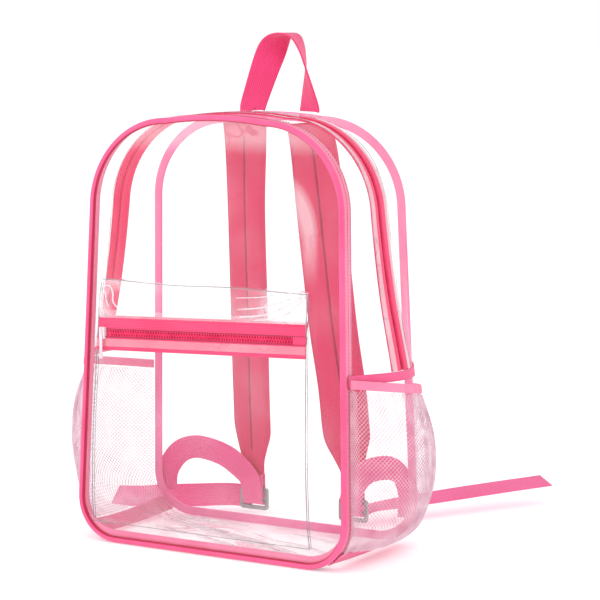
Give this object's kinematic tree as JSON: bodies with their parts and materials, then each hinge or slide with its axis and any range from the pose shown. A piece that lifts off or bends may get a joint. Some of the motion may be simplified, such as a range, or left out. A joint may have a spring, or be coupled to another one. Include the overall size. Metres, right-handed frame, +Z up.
{
  "type": "clear backpack",
  "caption": "Clear film backpack with pink trim, arched zip top, boxy front pocket, net side pockets, padded straps and a haul handle.",
  "frame": {"origin": "centre of the base's flat underside, on the surface that the bag stands on", "axes": "+Z up, -Y towards the front pocket, +Y towards the shoulder straps, +X to the right seen from the front"},
  "size_m": [0.4269, 0.4301, 0.5161],
  "materials": {
    "clear_film": "clear and glossy",
    "pink_trim": "woven tape, matt",
    "zipper_coil": "moulded teeth",
    "zipper_slider": "painted, half gloss",
    "side_net": "open net",
    "strap_cloth": "padded woven cloth",
    "webbing": "ribbed webbing",
    "buckle_plastic": "moulded, matt"
  },
  "bodies": {
    "root": {"front_panel": "clear_film", "back_panel": "clear_film", "gusset_front": "clear_film", "gusset_rear": "clear_film", "gusset_lower": "clear_film", "front_pocket": "clear_film", "front_pocket_flap": "clear_film", "front_pocket_side_left": "clear_film", "front_pocket_side_right": "clear_film", "front_piping": "pink_trim", "front_seam_tape": "pink_trim", "back_seam_binding": "pink_trim", "main_zipper_tape_front": "pink_trim", "main_zipper_tape_rear": "pink_trim", "cross_seam_tape_left": "pink_trim", "cross_seam_tape_right": "pink_trim", "side_pocket_rim_left": "pink_trim", "side_pocket_rim_right": "pink_trim", "side_pocket_base_left": "pink_trim", "side_pocket_base_right": "pink_trim", "pocket_zipper_tape_lower": "pink_trim", "pocket_zipper_tape_upper": "pink_trim", "pocket_zipper_end_tab": "pink_trim", "main_zipper_coil": "zipper_coil", "pocket_zipper_coil": "zipper_coil", "main_zipper_slider": "zipper_slider", "pocket_zipper_slider": "zipper_slider", "side_pocket_left": "side_net", "side_pocket_right": "side_net", "shoulder_strap_left": "strap_cloth", "shoulder_strap_right": "strap_cloth", "buckle_tab_left": "webbing", "buckle_tab_right": "webbing", "adjuster_webbing_left": "webbing", "adjuster_webbing_right": "webbing", "haul_handle": "webbing", "buckle_left": "buckle_plastic", "buckle_right": "buckle_plastic"}
  },
  "joints": []
}
